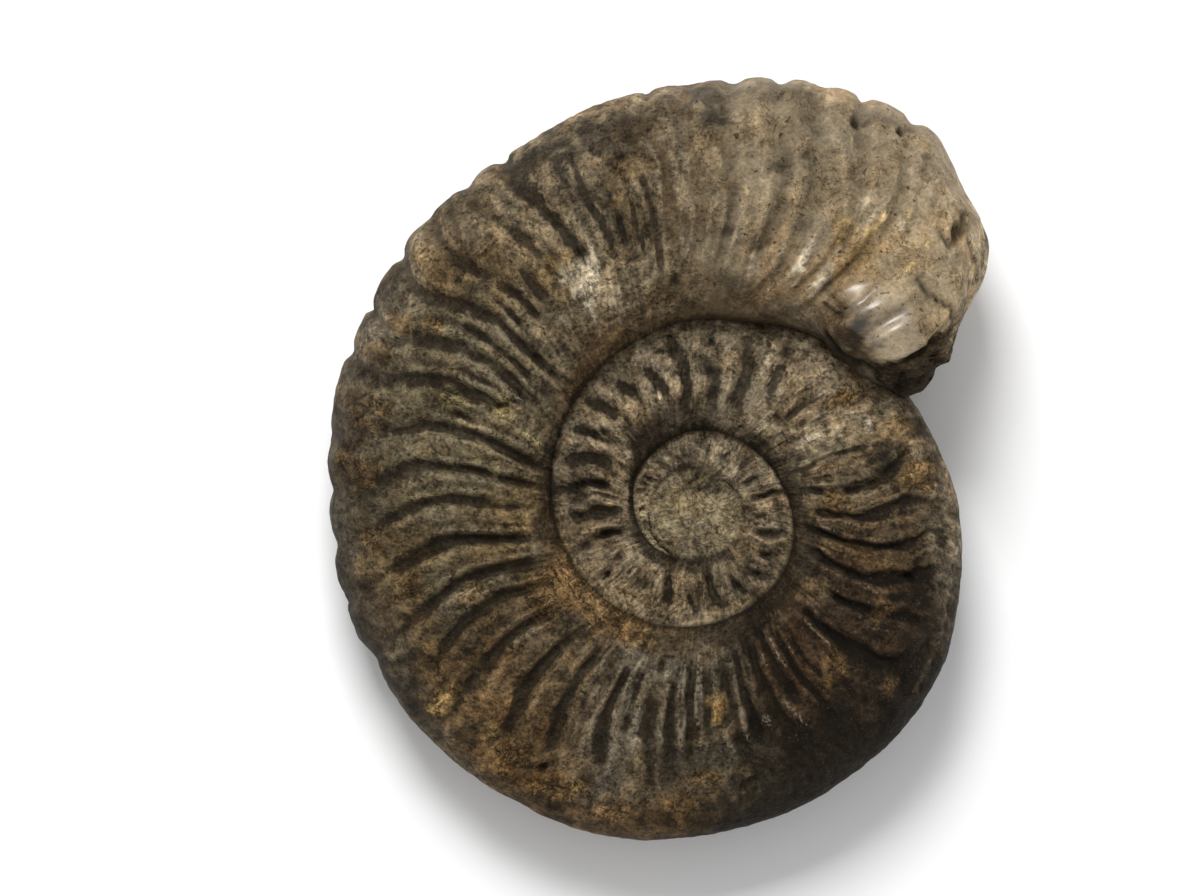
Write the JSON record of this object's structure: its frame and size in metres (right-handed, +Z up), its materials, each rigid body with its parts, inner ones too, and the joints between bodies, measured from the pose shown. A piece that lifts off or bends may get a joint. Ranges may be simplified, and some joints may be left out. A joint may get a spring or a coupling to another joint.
{
  "type": "ammonite fossil",
  "caption": "Fossil ammonite lying on its side: an evolute coil with close curved ribs, a wide shallow umbilicus and a broken mouth.",
  "frame": {"origin": "on the resting plane, under the middle of the bounding box", "axes": "+Z up from the side it lies on, towards the side that is seen; +Y along the longest way across the coil, towards the last whorl's high side; +X towards the broken mouth"},
  "size_m": [0.1194, 0.1376, 0.0402],
  "materials": {
    "fossil_stone": "semi-gloss fossil stone, grey-tan ribs, dark furrows and ochre stains"
  },
  "bodies": {
    "root": {"ammonite": "fossil_stone"}
  },
  "joints": []
}
